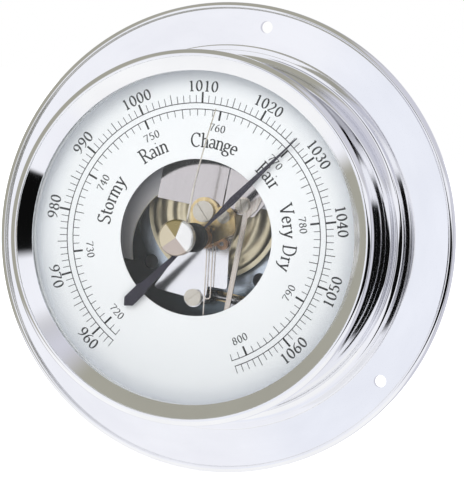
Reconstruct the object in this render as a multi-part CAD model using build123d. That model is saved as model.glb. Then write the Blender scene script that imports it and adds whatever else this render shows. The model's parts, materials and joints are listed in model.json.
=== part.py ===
from build123d import *
import math
import os

# Aneroid barometer in a round flanged wall case, in millimetres.
# The wall is the plane Y = 0 and the front faces -Y; +X is right and +Z is up for the reader.
# The origin is on the dial's axis, in the wall plane. Depths are counted from the wall: depth = -Y.
# Clock angles run clockwise from twelve, as the reader sees them.

# ---- Case ----
body_radius = 41.4
body_wall = 1.3
body_front = 24.0           # where the case body ends and the bezel ring begins
flange_reach = 13.6         # of the wall flange, beyond the body
flange_depth = 1.9          # front face of the wall flange, at the collar
flange_fall = 0.5           # of the front face, from the collar out to the rim
rim_width = 1.4             # raised bead round the flange's edge
rim_height = 0.4
collar_width = 3.6          # low step at the root of the body
collar_height = 1.1
body_foot_width = 2.4       # flared foot of the body, soldered on the collar
body_foot_height = 0.3
cove_radius = 2.0           # hollow curve from the foot up to the body
wall_hole_radius = 1.45
wall_hole_reach = 8.6       # from the body out to the circle of the three wall screws
wall_hole_count = 3

# ---- Dial, glass and bezel ----
dial_set = 2.3              # printed face of the dial, in front of the case body's end
dial_sheet = 0.5
dial_opening = 17.9         # window in the dial that shows the movement
spacer_height = 1.2
spacer_width = 1.8
glass_room = 0.9            # between the glass's edge and the bezel's bore
glass_rise = 10.2           # of the domed glass, above its edge at the lip
glass_set = 5.3             # edge of the glass at the lip, in front of the case body's end
glass_thickness = 1.8
lip_width = 1.2             # how far the bezel's lip covers the glass
bezel_reach = 1.4           # beyond the body
bezel_height = 8.0
crest_width = 1.6
crest_step = 0.5            # small drop from the crest to the sloping inner face
throat_height = 2.2         # straight part of the bezel, above the case body
throat_slope = 1.6          # height of the slope from the throat out to the bezel's side
lip_height = 0.35
gasket_gap = 0.1            # squeeze room between the glass and the lip

# ---- Movement can, back cover and base ----
can_wall = 1.2
can_fit = 0.2               # all round, inside the case and the bezel
can_floor = 1.0
cover_back = 0.9
cover_sheet = 1.0
cover_lap = 0.9             # of the back cover, beyond the body's outside
cover_screw_inset = 7.4     # from the body's outside in to the circle of the cover's screws
cover_screw_radius = 0.9
cover_screw_count = 3
base_back = 9.8
base_sheet = 1.2
base_radius = 31.0
base_post_circle = 27.0
base_post_radius = 2.2
base_post_count = 4
peep_hole_radius = 1.7      # round holes in the base plate
peep_hole_places = [(-13.7, -8.5), (12.8, -7.5)]

# ---- Capsule ----
capsule_radius = 15.7
capsule_height = 6.1        # how far the capsule's centre stands above the dial's axis
capsule_rim_depth = 14.1
capsule_rise = 1.9          # from the rim to each end face
capsule_rim_width = 0.9
capsule_sheet = 0.3
capsule_waves = 4
capsule_wave = 0.12         # half the height of a corrugation
capsule_boss = 3.2
capsule_stud_radius = 1.5
capsule_travel = 0.9        # of the post, over the whole scale

# ---- Frame plate, main spring and lever ----
frame_depth = 17.4
frame_sheet = 0.8
frame_radius = 29.0
frame_window = 15.5
frame_window_centre = (-1.6, -3.0)
frame_posts_at = [(-24.0, -3.5), (-23.0, 13.0), (23.0, 13.0)]
frame_post_radius = 1.6
spring_sheet = 0.6
spring_root = 22.0          # height where the leaf leaves its clamp
spring_clamp_screws_at = [(-8.0, 25.0), (8.0, 25.0)]
lever_sheet = 0.6
lever_line = 8.65           # distance of the lever arm from the dial's axis
lever_width = 1.2
lever_screw_place = (7.6, 9.0)
lever_screw_radius = 1.6
lever_screw_height = 0.9
slot_width = 0.55

# ---- Bridge, cock and hand arbor ----
bridge_depth = 18.4
bridge_sheet = 1.0
bridge_posts_at = [(0.4, -14.0), (-7.2, -12.2)]
bridge_post_radius = 1.8
bridge_screw_height = 1.1
cock_depth = 21.0
cock_sheet = 1.0
cock_lobes = {
    "screw": (-0.4, 6.0, 3.3),
    "side": (4.4, 5.7, 2.5),
    "foot": (5.9, 3.3, 1.7),
    "arbor": (0.0, 0.0, 2.4),
}
cock_posts_at = [(-1.9, 2.7), (5.9, 3.3)]
cock_post_radius = 0.8
regulating_screw_radius = 2.44
side_screw_radius = 1.55
arbor_radius = 0.34
arbor_pivot = 0.25
pivot_play = 0.03
collet_radius = 0.9
hairspring_turns = 4
hairspring_outer = 2.9
hairspring_strip = 0.12
hairspring_height = 0.35
hairspring_end = 45.0       # clock angle of the stud that holds the outer end
hairspring_stud_radius = 0.35

# ---- Sector, draw loop and rocker ----
gear_module = 0.135
pinion_teeth = 8
sector_teeth = 64           # on the full circle that the sector is cut from
sector_bearing = -6.0       # degrees above the horizontal, from the hand arbor to the sector's stud
sector_depth = 19.9
sector_sheet = 0.4
sector_hub = 1.35
sector_stud_radius = 0.5
pin_radius = 0.35
pin_arm = 2.8               # from the sector's stud to its pin
loop_tilt = 8.4             # degrees that the draw loop leans from the vertical
loop_half_width = 0.7
loop_wire = 0.25
loop_length = 12.2          # between the two pins
loop_slack = 0.1
loop_gap = 0.1
loop_tail = 7.0             # loose end of the wire, below the rocker
pull_arm = 5.95             # rocker shaft to draw loop
rocker_radius = 0.6
rocker_collar = 1.1
rocker_pivot = 0.35
bracket_ears = [2.5, 11.1]  # left faces of the two ears
bracket_sheet = 0.6
lift_gap = 0.06

# ---- Hands and knob ----
hand_lift = 0.9             # of the pressure hand, in front of the dial
hand_sheet = 0.3
hand_reading = 35.3         # clock angle shown
hand_shortfall = 7.0        # from the hand's tip to the dial's edge
hand_tail = 22.8            # from the axis to the point of the tail
tail_point = 1.4            # length of the tail's point
tail_flare = 16.3
hub_radius = 3.36
hub_height = 4.8            # in front of the dial
scale_sweep = 302.4         # degrees from one end of the scale to the other
spindle_radius = 1.0
spindle_play = 0.05
bush_radius = 1.5
bush_flange = 2.7
bush_flange_height = 0.45
bush_below = 0.8            # how far the bush stands out under the glass
set_hand_shortfall = 10.1   # from the set hand's tip to the dial's edge
needle_room = 0.5           # between the set hand's needle and the glass that it follows
knob_radius = 4.1
knob_gap = 0.7              # from the top of the glass to the knob
knob_height = 2.7
knob_chamfer = 0.25
knob_cap = 0.8              # metal over the spindle's end

# ---- Zero adjustment ----
adjuster_height = 24.6
adjuster_radius = 1.2
adjuster_head = 2.0
adjuster_front = 17.3


def outline(*corners):
    """A flat face from (x, y) corners; a third value rounds that corner."""
    face = make_face(Polyline(*[corner[:2] for corner in corners], close=True))
    for corner in corners:
        if len(corner) == 3:
            face = fillet(face.vertices().sort_by_distance((corner[0], corner[1], 0))[0], corner[2])
    return face


def turned(*corners, x=0.0, z=0.0):
    """A ring or disc turned about an axis square to the wall, from (radius, depth) corners."""
    profile = outline(*[(corner[0], -corner[1], *corner[2:]) for corner in corners])
    return Pos(x, 0, z) * revolve(profile, Axis.Y)


def slab(sketch, back, front):
    """A front-view sketch, x right and y up, made solid between two depths."""
    return extrude(Plane.XZ.offset(back) * sketch, front - back)


def rod(x, z, radius, back, front):
    """A round bar square to the wall."""
    return slab(Pos(x, z) * Circle(radius), back, front)


def clock(angle, radius):
    """The front-view place at a clock angle and a distance from the dial's axis."""
    return (radius * math.sin(math.radians(angle)), radius * math.cos(math.radians(angle)))


def around(count, radius, start=0.0):
    """Evenly spaced places on a circle about the dial's axis."""
    return [clock(start + 360 * i / count, radius) for i in range(count)]


def slotted_head(x, z, radius, back, height, turn):
    """A cheese head with a driver slot, turned to a clock angle."""
    slot = Pos(x, z) * Rot(0, 0, -turn) * Rectangle(slot_width, 3 * radius)
    return rod(x, z, radius, back, back + height) - slab(slot, back + 0.55 * height, back + height + 1)


def screw(x, z, head, shank, tip, seat, height, turn):
    """A slotted screw whose head sits on a face at the seat depth and whose shank runs back to the tip."""
    return slotted_head(x, z, head, seat, height, turn) + rod(x, z, shank, tip, seat)


def toothed(teeth, first):
    """A spur outline with slim straight-sided teeth; the first tooth points at the given angle."""
    pitch = teeth * gear_module / 2
    root, tip = pitch - 1.25 * gear_module, pitch + 0.9 * gear_module
    root_half, tip_half = 0.27 * 360 / teeth, 0.12 * 360 / teeth
    points = []
    for i in range(teeth):
        middle = first + 360 * i / teeth
        for radius, swing in ((root, -root_half), (tip, -tip_half), (tip, tip_half), (root, root_half)):
            angle = math.radians(middle + swing)
            points.append((radius * math.cos(angle), radius * math.sin(angle)))
    return outline(*points)


# ---- Places worked out from the values above ----
bore = body_radius - body_wall
flange_radius = body_radius + flange_reach
collar_radius = body_radius + collar_width
collar_front = flange_depth + collar_height
wall_hole_circle = body_radius + wall_hole_reach
bezel_radius = body_radius + bezel_reach
bezel_crest = body_front + bezel_height
glass_radius = bore - glass_room
lip_radius = glass_radius - lip_width
glass_edge = body_front + glass_set
glass_apex = glass_edge + glass_rise
cover_radius = body_radius + cover_lap
cover_screw_circle = body_radius - cover_screw_inset
can_radius = bore - can_fit
dial_depth = body_front + dial_set
dial_back = dial_depth - dial_sheet
hand_depth = dial_depth + hand_lift
hand_length = can_radius - hand_shortfall
hub_front = dial_depth + hub_height
set_hand_length = can_radius - set_hand_shortfall
knob_back = glass_apex + knob_gap
knob_front = knob_back + knob_height
cover_front = cover_back + cover_sheet
can_floor_front = cover_front + can_floor
base_front = base_back + base_sheet
spring_depth = frame_depth + frame_sheet
lever_depth = spring_depth + spring_sheet
lever_front = lever_depth + lever_sheet
bridge_front = bridge_depth + bridge_sheet
cock_front = cock_depth + cock_sheet
sector_front = sector_depth + sector_sheet
loop_depth = sector_front + loop_gap
loop_front = loop_depth + loop_wire
spacer_front = dial_depth + spacer_height
knob_seat = glass_apex + bush_flange_height
glass_under = glass_apex - glass_thickness

dome_radius = (lip_radius**2 + (glass_apex - glass_edge) ** 2) / (2 * (glass_apex - glass_edge))
dome_centre = glass_apex - dome_radius


def dome_depth(radius, inset=0.0):
    """Depth of the dome's outer face, or of a face inset from it, at a distance from the axis."""
    return dome_centre + math.sqrt((dome_radius - inset) ** 2 - radius**2)


def dome_reach(depth, inset):
    """Distance from the axis at which an inset dome face passes a depth."""
    return math.sqrt((dome_radius - inset) ** 2 - (depth - dome_centre) ** 2)


gear_distance = (pinion_teeth + sector_teeth) * gear_module / 2
sector_ratio = pinion_teeth / sector_teeth
sector_x = gear_distance * math.cos(math.radians(sector_bearing))
sector_z = gear_distance * math.sin(math.radians(sector_bearing))
tilt = math.radians(loop_tilt)
pin_x, pin_z = sector_x - pin_arm * math.cos(tilt), sector_z - pin_arm * math.sin(tilt)
rocker_x, rocker_z = pin_x + loop_length * math.sin(tilt), pin_z - loop_length * math.cos(tilt)
rocker_depth = (loop_depth + loop_front) / 2 - pull_arm

# Each stage's turn, or travel, for one radian of the pressure hand.
rocker_ratio = pin_arm * math.cos(tilt) * sector_ratio / pull_arm
post_ratio = capsule_travel / math.radians(scale_sweep)
lever_ratio = post_ratio / (spring_root - capsule_height)
lift_arm = lever_ratio * (spring_root - rocker_z) / (rocker_ratio - lever_ratio)
lift_z = rocker_z - lift_arm

parts = {}

# ---- Wall flange and case body, back cover and can ----
flange = turned(
    (bore, 0),
    (flange_radius, 0, 0.3),
    (flange_radius, flange_depth + rim_height, 1.1),
    (flange_radius - rim_width, flange_depth + rim_height, 0.2),
    (flange_radius - rim_width, flange_depth - flange_fall),
    (collar_radius, flange_depth),
    (collar_radius, collar_front, 0.5),
    (bore, collar_front),
)
flange -= rod(0, 0, cover_radius + can_fit / 2, 0, cover_front)
for x, z in around(wall_hole_count, wall_hole_circle):
    flange -= rod(x, z, wall_hole_radius, -1, flange_depth + 1)
parts["wall_flange"] = flange
parts["case_body"] = turned(
    (bore, collar_front),
    (body_radius + body_foot_width, collar_front),
    (body_radius + body_foot_width, collar_front + body_foot_height),
    (body_radius, collar_front + body_foot_height, cove_radius),
    (body_radius, body_front),
    (bore, body_front),
)

adjuster_hole = adjuster_head + 0.4
cover = rod(0, 0, cover_radius, cover_back, cover_front)
cover -= rod(0, adjuster_height, adjuster_hole, cover_back - 1, cover_front + 1)
can = rod(0, 0, can_radius, cover_front, dial_back)
can -= rod(0, 0, can_radius - can_wall, can_floor_front, dial_back + 1)
can -= rod(0, adjuster_height, adjuster_hole, cover_front - 1, can_floor_front + 1)
cover_screws = []
for x, z in around(cover_screw_count, cover_screw_circle, 180 / cover_screw_count):
    cover -= rod(x, z, cover_screw_radius, 0, cover_front + 1)
    can -= rod(x, z, cover_screw_radius, 0, can_floor_front + 1)
    shank = rod(x, z, cover_screw_radius, cover_back, can_floor_front)
    head = rod(x, z, 2 * cover_screw_radius, 0.1, cover_back)
    head -= slab(Pos(x, z) * Rectangle(slot_width, 5 * cover_screw_radius), 0, 0.5)
    cover_screws.append(head + shank)
parts["rear_cover"] = cover
parts["movement_can"] = can
parts["rear_cover_screws"] = cover_screws

# ---- Base plate on its posts ----
base = rod(0, 0, base_radius, base_back, base_front)
base_posts, base_screws = [], []
base_screw_radius = base_post_radius / 2.5
base_screw_reach = 4.0
for i, (x, z) in enumerate(around(base_post_count, base_post_circle, 180 / base_post_count)):
    base -= rod(x, z, base_screw_radius, base_back - 1, base_front + 1)
    post = rod(x, z, base_post_radius, can_floor_front, base_back)
    tip = base_back - base_screw_reach
    base_posts.append(post - rod(x, z, base_screw_radius, tip, base_back + 1))
    head = 0.9 * base_post_radius
    base_screws.append(screw(x, z, head, base_screw_radius, tip, base_front, 1.0, 40 * i))
for x, z in peep_hole_places:
    base -= rod(x, z, peep_hole_radius, base_back - 1, base_front + 1)
base -= rod(0, capsule_height, capsule_stud_radius, base_back - 1, base_front + 1)
base -= rod(0, adjuster_height, adjuster_radius + pivot_play, base_back - 1, base_front + 1)
parts["base_plate"] = base
parts["base_posts"] = base_posts
parts["base_screws"] = base_screws

# ---- Capsule: two corrugated diaphragms joined at the rim ----
wave_start, wave_end = capsule_boss, capsule_radius - capsule_rim_width


def wave_rise(radius):
    """Height of the corrugated sheet's middle above the capsule's rim plane."""
    share = (radius - wave_start) / (wave_end - wave_start)
    dome = capsule_rise * (1 - share**3)
    return dome - capsule_wave * math.sin(2 * math.pi * capsule_waves * share)


def diaphragm(side):
    """One half of the capsule; side is +1 for the half that faces the reader and -1 for the other."""
    steps = 4 * capsule_waves
    radii = [wave_start + (wave_end - wave_start) * i / steps for i in range(steps + 1)]

    def curve(lift):
        return [(r, -(capsule_rim_depth + side * (wave_rise(r) + lift))) for r in radii]

    low, high = curve(0.0), curve(capsule_sheet)
    rim_low, rim_high = (capsule_radius, low[-1][1]), (capsule_radius, high[-1][1])
    edges = [
        Line((0, low[0][1]), low[0]),
        Spline(*low),
        Line(low[-1], rim_low),
        Line(rim_low, rim_high),
        Line(rim_high, high[-1]),
        Spline(*high[::-1]),
        Line(high[0], (0, high[0][1])),
        Line((0, high[0][1]), (0, low[0][1])),
    ]
    return Pos(0, 0, capsule_height) * revolve(make_face(edges), Axis.Y)


capsule_back = capsule_rim_depth - capsule_rise - capsule_sheet
capsule_front = capsule_rim_depth + capsule_rise + capsule_sheet
nut_height = 1.6
parts["capsule_upper"] = diaphragm(1)
parts["capsule_lower"] = diaphragm(-1)
stud = rod(0, capsule_height, 2 * capsule_stud_radius, base_front, capsule_back)
stud_tip = base_back - nut_height - 0.5
parts["capsule_stud"] = stud + rod(0, capsule_height, capsule_stud_radius, stud_tip, base_front)
nut_ring = RegularPolygon(2 * capsule_stud_radius, 6) - Circle(capsule_stud_radius)
parts["capsule_nut"] = slab(Pos(0, capsule_height) * nut_ring, base_back - nut_height, base_back)

# ---- Frame plate, with the main spring clamped along its top ----
frame = Circle(frame_radius) - Pos(*frame_window_centre) * Circle(frame_window)
reach = 2 * frame_radius
window_side, window_foot, window_head = 1.0, -8.6, 9.2
frame -= Pos(0, window_foot - reach / 2) * Rectangle(reach, reach)
frame -= Pos(window_side + reach / 2, window_head - reach / 2) * Rectangle(reach, reach)
frame -= Pos(*lever_screw_place) * Circle(lever_screw_radius)
for place in spring_clamp_screws_at:
    frame -= Pos(*place) * Circle(lever_screw_radius / 2)
parts["frame_plate"] = slab(frame, frame_depth, spring_depth)
parts["frame_posts"] = [rod(x, z, frame_post_radius, base_front, frame_depth) for x, z in frame_posts_at]

post_radius = 0.8
leaf_left, leaf_right, leaf_foot, leaf_slit = -12.9, 12.4, 6.8, 2.8
tongue, tongue_foot = 2.2, 4.2
leaf = outline(
    (leaf_left, spring_root + 5, 1.0),
    (leaf_left, leaf_foot),
    (-tongue, leaf_foot),
    (-tongue, tongue_foot, 0.8),
    (tongue, tongue_foot, 0.8),
    (tongue, leaf_foot),
    (10.4, leaf_foot, 1.0),
    (leaf_right, 10.4, 1.0),
    (leaf_right, spring_root + 5, 1.0),
)
leaf -= Pos(leaf_slit, (leaf_foot + spring_root - 2) / 2 - 1) * Rectangle(0.3, spring_root - leaf_foot)
leaf -= Pos(0, capsule_height) * Circle(post_radius + pivot_play)
leaf -= Pos(*lever_screw_place) * Circle(lever_screw_radius / 2)
clamp = outline(
    (leaf_left + 1, spring_root + 0.6),
    (leaf_right - 1, spring_root + 0.6),
    (leaf_right - 1, spring_root + 5),
    (leaf_left + 1, spring_root + 5),
)
for place in spring_clamp_screws_at:
    leaf -= Pos(*place) * Circle(lever_screw_radius / 2)
    clamp -= Pos(*place) * Circle(lever_screw_radius / 2)
parts["main_spring"] = slab(leaf, spring_depth, lever_depth)
parts["spring_clamp"] = slab(clamp, lever_depth, lever_depth + 1.0)
parts["spring_clamp_screws"] = [
    screw(x, z, lever_screw_radius, lever_screw_radius / 2, frame_depth, lever_depth + 1.0, 0.9, 30)
    for x, z in spring_clamp_screws_at
]

# ---- Capsule post, which carries the capsule's movement to the spring ----
post_foot = rod(0, capsule_height, capsule_stud_radius, capsule_front, spring_depth)
parts["capsule_post"] = post_foot + rod(0, capsule_height, post_radius, spring_depth, lever_depth + 0.6)
post_ring = Pos(0, capsule_height) * (Circle(1.7) - Circle(post_radius))
parts["post_collar"] = slab(post_ring, lever_depth, lever_depth + 0.5)

# ---- Main lever: a long arm riveted to the spring, with a pin that presses on the rocker ----
lever_left, lever_right = lever_line - lever_width / 2, lever_line + lever_width / 2
arm = outline(
    (lever_left, lift_z - 1),
    (lever_right, lift_z - 1),
    (lever_right, 6.4),
    (11.0, 8.6, 0.5),
    (12.0, 12.4, 0.4),
    (10.2, 11.2),
    (8.2, 9.0),
    (lever_left, 6.6),
)
arm += Pos(*lever_screw_place) * Circle(lever_screw_radius + 0.4)
arm -= Pos(*lever_screw_place) * Circle(lever_screw_radius / 2)
parts["main_lever"] = slab(arm, lever_depth, lever_front)
shank = lever_screw_radius / 2
parts["lever_screw"] = screw(
    *lever_screw_place, lever_screw_radius, shank, spring_depth, lever_front, lever_screw_height, -20
)
lift_front = rocker_depth + rocker_radius
lever_pin_radius = 0.4
pin_nose = lift_front + lift_gap + lever_pin_radius
lever_pin = rod(lever_line, lift_z, lever_pin_radius, pin_nose, lever_depth)
parts["lever_pin"] = lever_pin + Pos(lever_line, -pin_nose, lift_z) * Sphere(lever_pin_radius)

# ---- Bridge plate: polished, carries the hand arbor's rear pivot and the sector's stud ----
bridge = outline(
    (-9.6, -13.7, 0.8),
    (3.2, -14.4),
    (3.2, -10.8),
    (7.8, -10.6, 0.6),
    (6.5, -2.2),
    (7.2, 4.5, 0.8),
    (3.0, 4.5),
    (3.0, 3.9),
    (-3.2, 3.9, 0.8),
    (-3.2, 0.0),
    (-4.6, -3.6),
)
bridge += Pos(*bridge_posts_at[0]) * Circle(bridge_post_radius + 0.4)
bridge -= Circle(arbor_pivot + pivot_play)
bridge -= Pos(sector_x, sector_z) * Circle(sector_stud_radius)
bridge_screw_radius = bridge_post_radius / 2
bridge -= Pos(*bridge_posts_at[0]) * Circle(bridge_screw_radius)
parts["bridge_plate"] = slab(bridge, bridge_depth, bridge_front)
main_post = rod(*bridge_posts_at[0], bridge_post_radius, base_front, bridge_depth)
main_post -= rod(*bridge_posts_at[0], bridge_screw_radius, bridge_depth - 3, bridge_depth + 1)
side_post = rod(*bridge_posts_at[1], 0.8 * bridge_post_radius, base_front, bridge_depth)
parts["bridge_posts"] = [main_post, side_post]
head = 1.1 * bridge_post_radius
tip = bridge_depth - 3
parts["bridge_screw"] = screw(
    *bridge_posts_at[0], head, bridge_screw_radius, tip, bridge_front, bridge_screw_height, 45
)

# ---- Cock: brass bridge over the hand arbor ----
lobe = {name: Pos(x, z) * Circle(radius) for name, (x, z, radius) in cock_lobes.items()}


def web(*names):
    """The tight outline round some of the cock's lobes."""
    return make_hull([edge for name in names for edge in lobe[name].edges()])


cock = web("screw", "arbor") + web("side", "foot", "arbor")
cock -= Circle(arbor_radius + pivot_play)
cock_screws = []
for name, radius, turn in (("screw", regulating_screw_radius, -44), ("side", side_screw_radius, 50)):
    x, z, _ = cock_lobes[name]
    cock -= Pos(x, z) * Circle(radius / 2.6)
    cock_screws.append(screw(x, z, radius, radius / 2.6, cock_depth, cock_front, 0.45 * radius, turn))
parts["cock"] = slab(cock, cock_depth, cock_front)
parts["cock_posts"] = [rod(x, z, cock_post_radius, bridge_front, cock_depth) for x, z in cock_posts_at]
parts["cock_screws"] = cock_screws

# ---- Hand arbor with its pinion, collet and hairspring ----
arbor = rod(0, 0, arbor_pivot, bridge_depth - 0.2, bridge_front + 0.1)
arbor += rod(0, 0, arbor_radius, bridge_front + 0.1, hub_front - 1)
arbor += slab(toothed(pinion_teeth, sector_bearing), sector_depth - 0.1, loop_front)
parts["hand_arbor"] = arbor
spring_back = cock_front + 0.3
spring_front = spring_back + hairspring_height
collet = Circle(collet_radius) - Circle(arbor_radius)
parts["hairspring_collet"] = slab(collet, cock_front + 0.1, spring_front + 0.1)
stud_place = clock(hairspring_end, hairspring_outer + hairspring_stud_radius)
parts["hairspring_stud"] = rod(*stud_place, hairspring_stud_radius, cock_front, spring_front)


def spiral(offset):
    """The hairspring's line, moved outwards by the offset."""
    steps = 8 * hairspring_turns
    climb = hairspring_outer - hairspring_strip - collet_radius
    points = []
    for i in range(steps + 1):
        angle = hairspring_end - 360 * hairspring_turns * (1 - i / steps)
        points.append(clock(angle, collet_radius + hairspring_strip / 2 + climb * i / steps + offset))
    return points


inner, outer = spiral(-hairspring_strip / 2), spiral(hairspring_strip / 2)
strip_edges = [
    Spline(*inner),
    Line(inner[-1], outer[-1]),
    Spline(*outer[::-1]),
    Line(outer[0], inner[0]),
]
parts["hairspring"] = slab(make_face(strip_edges), spring_back, spring_front)

# ---- Sector on its stud, with the pin that the draw loop pulls ----
first_tooth = 180 + sector_bearing + 180 / sector_teeth
sector_rim = sector_teeth * gear_module / 2
spread_up, spread_down = 24.0, 33.0
corner_up = math.radians(180 + sector_bearing - spread_up)
corner_down = math.radians(180 + sector_bearing + spread_down)
far = 2 * sector_rim
wedge = outline(
    (0, 0),
    (far * math.cos(corner_up), far * math.sin(corner_up)),
    (-far, 0),
    (far * math.cos(corner_down), far * math.sin(corner_down)),
)
blade = (toothed(sector_teeth, first_tooth) & wedge) + Circle(sector_hub)
blade -= Circle(sector_stud_radius + pivot_play)
sector = slab(Pos(sector_x, sector_z) * blade, sector_depth, sector_front)
hub_ring = Pos(sector_x, sector_z) * (Circle(sector_hub - 0.25) - Circle(sector_stud_radius + pivot_play))
parts["sector"] = sector + slab(hub_ring, sector_front, cock_depth - 0.15)
parts["sector_pin"] = rod(pin_x, pin_z, pin_radius, sector_front, loop_front + 0.15)
parts["sector_stud"] = rod(sector_x, sector_z, sector_stud_radius, bridge_depth, cock_depth - 0.1)

# ---- Draw loop: one closed wire from the sector's pin down to the rocker ----
loop_reach = loop_length / 2 + pin_radius + loop_slack - (loop_half_width - loop_wire / 2)
middle_x, middle_z = (pin_x + rocker_x) / 2, (pin_z + rocker_z) / 2


def stadium(grow):
    """A round-ended outline along the draw loop."""
    half = loop_half_width + grow
    ends = [Pos(0, side * loop_reach) * Circle(half) for side in (-1, 1)]
    return Rectangle(2 * half, 2 * loop_reach) + ends[0] + ends[1]


ring = stadium(loop_wire / 2) - stadium(-loop_wire / 2)
ring += Pos(-loop_half_width, -loop_reach - loop_tail / 2) * Rectangle(loop_wire, loop_tail)
parts["draw_loop"] = slab(Pos(middle_x, middle_z) * Rot(0, 0, loop_tilt) * ring, loop_depth, loop_front)

# ---- Rocker: a shaft along X with a lift arm and a pull arm, in a bracket ----


def along_x(radius, left, right):
    """A round bar on the rocker's axis."""
    return Pos((left + right) / 2, -rocker_depth, rocker_z) * Rot(0, 90, 0) * Cylinder(radius, right - left)


ear_left, ear_right = bracket_ears
shaft_left, shaft_right = ear_left + bracket_sheet + 0.05, ear_right - 0.05
arm_half = 0.45
shaft = along_x(rocker_radius, shaft_left, shaft_right)
shaft += along_x(rocker_pivot, ear_left - 0.2, shaft_left)
shaft += along_x(rocker_pivot, shaft_right, ear_right + bracket_sheet + 0.2)
parts["rocker_shaft"] = shaft
pull = Pos(rocker_x, -(rocker_depth + pull_arm / 2), rocker_z)
pull *= Box(2 * arm_half, pull_arm - 1.0, 2 * arm_half)
pull += along_x(rocker_collar, rocker_x - arm_half, rocker_x + arm_half)
pull += rod(rocker_x, rocker_z, pin_radius, rocker_depth + pull_arm - 0.5, loop_front + 0.2)
parts["rocker_pull_arm"] = pull - along_x(rocker_radius, shaft_left, shaft_right)
lift_half, lift_reach = 0.8, lift_arm + 0.8
lift = Pos(lever_line, -rocker_depth, rocker_z - lift_reach / 2)
lift *= Box(2 * lift_half, 2 * rocker_radius, lift_reach)
lift += along_x(rocker_collar, lever_line - lift_half, lever_line + lift_half)
parts["rocker_lift_arm"] = lift - along_x(rocker_radius, shaft_left, shaft_right)
ear_top = rocker_depth + rocker_collar
foot_width = 2.2
foot_length = ear_right + bracket_sheet - ear_left
foot = Pos(ear_left + foot_length / 2, rocker_z) * Rectangle(foot_length, foot_width)
bracket = slab(foot, base_front, base_front + bracket_sheet)
for left in bracket_ears:
    ear = Pos(left + bracket_sheet / 2, rocker_z) * Rectangle(bracket_sheet, foot_width)
    bracket += slab(ear, base_front, ear_top)
parts["rocker_bracket"] = bracket - along_x(rocker_pivot + pivot_play, ear_left - 1, ear_right + 2)

# ---- Dial, spacer, glass, gasket and bezel ----
parts["dial"] = slab(Circle(can_radius) - Circle(dial_opening), dial_back, dial_depth)
spacer = Circle(can_radius) - Circle(can_radius - spacer_width)
parts["dial_spacer"] = slab(spacer, dial_depth, spacer_front)

bush_hole = bush_radius + spindle_play
foot_in = dome_reach(spacer_front, glass_thickness)
half_out, half_in = (bush_hole + glass_radius) / 2, (bush_hole + foot_in) / 2
glass_points = [
    (bush_hole, -dome_depth(bush_hole)),
    (half_out, -dome_depth(half_out)),
    (glass_radius, -dome_depth(glass_radius)),
    (glass_radius, -spacer_front),
    (foot_in, -spacer_front),
    (half_in, -dome_depth(half_in, glass_thickness)),
    (bush_hole, -dome_depth(bush_hole, glass_thickness)),
]
glass_edges = [
    ThreePointArc(*glass_points[:3]),
    Line(*glass_points[2:4]),
    Line(*glass_points[3:5]),
    ThreePointArc(*glass_points[4:]),
    Line(glass_points[6], glass_points[0]),
]
parts["glass_dome"] = revolve(make_face(glass_edges), Axis.Y)
gasket_front = dome_depth(glass_radius) + gasket_gap
parts["glass_gasket"] = slab(Circle(can_radius) - Circle(glass_radius), spacer_front, gasket_front)

lip_under = dome_depth(lip_radius) + gasket_gap
parts["bezel_ring"] = turned(
    (bore, body_front),
    (body_radius, body_front),
    (body_radius, body_front + throat_height, 1.0),
    (bezel_radius, body_front + throat_height + throat_slope, 0.8),
    (bezel_radius, bezel_crest, 1.4),
    (bezel_radius - crest_width, bezel_crest, 0.12),
    (bezel_radius - crest_width, bezel_crest - crest_step),
    (lip_radius, lip_under + lip_height, 0.15),
    (lip_radius, lip_under),
    (glass_radius, gasket_front),
    (bore, gasket_front),
)

# ---- Bush, spindle, knob and set hand ----
bush_end = glass_under - bush_below
parts["glass_bush"] = turned(
    (spindle_radius + spindle_play, bush_end),
    (bush_radius, bush_end),
    (bush_radius, glass_apex),
    (bush_flange, glass_apex),
    (bush_flange, knob_seat, 0.2),
    (spindle_radius + spindle_play, knob_seat),
)
nut_front = dome_depth(bush_flange, glass_thickness)
parts["bush_nut"] = slab(Circle(bush_flange) - Circle(bush_radius), nut_front - 0.55, nut_front)
washer_sheet, boss_height = 0.3, 0.6
boss_front = bush_end - washer_sheet
boss_back = boss_front - boss_height
parts["spring_washer"] = slab(Circle(2.1) - Circle(spindle_radius), boss_front, bush_end)
parts["set_hand_spindle"] = rod(0, 0, spindle_radius, boss_back - 0.3, knob_front - knob_cap)
knob_floor = knob_front - knob_cap
parts["setting_knob"] = turned(
    (spindle_radius, knob_back),
    (knob_radius - knob_chamfer, knob_back),
    (knob_radius, knob_back + knob_chamfer),
    (knob_radius, knob_front - knob_chamfer),
    (knob_radius - knob_chamfer, knob_front),
    (0, knob_front),
    (0, knob_floor),
    (spindle_radius, knob_floor),
)
boss_radius = 1.9
needle_root, needle_sheet = spindle_radius + 0.4, 0.28
needle_inset = glass_thickness + needle_room


def needle_face(depth, inset):
    """One face of the needle from the side: level at the boss, then bent to follow the glass."""
    bend = dome_reach(depth, inset)
    stations = (bend, (bend + set_hand_length) / 2, set_hand_length)
    bent = [(-dome_depth(station, inset), station) for station in stations]
    return [Line((-depth, needle_root), bent[0]), ThreePointArc(*bent)]


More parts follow.
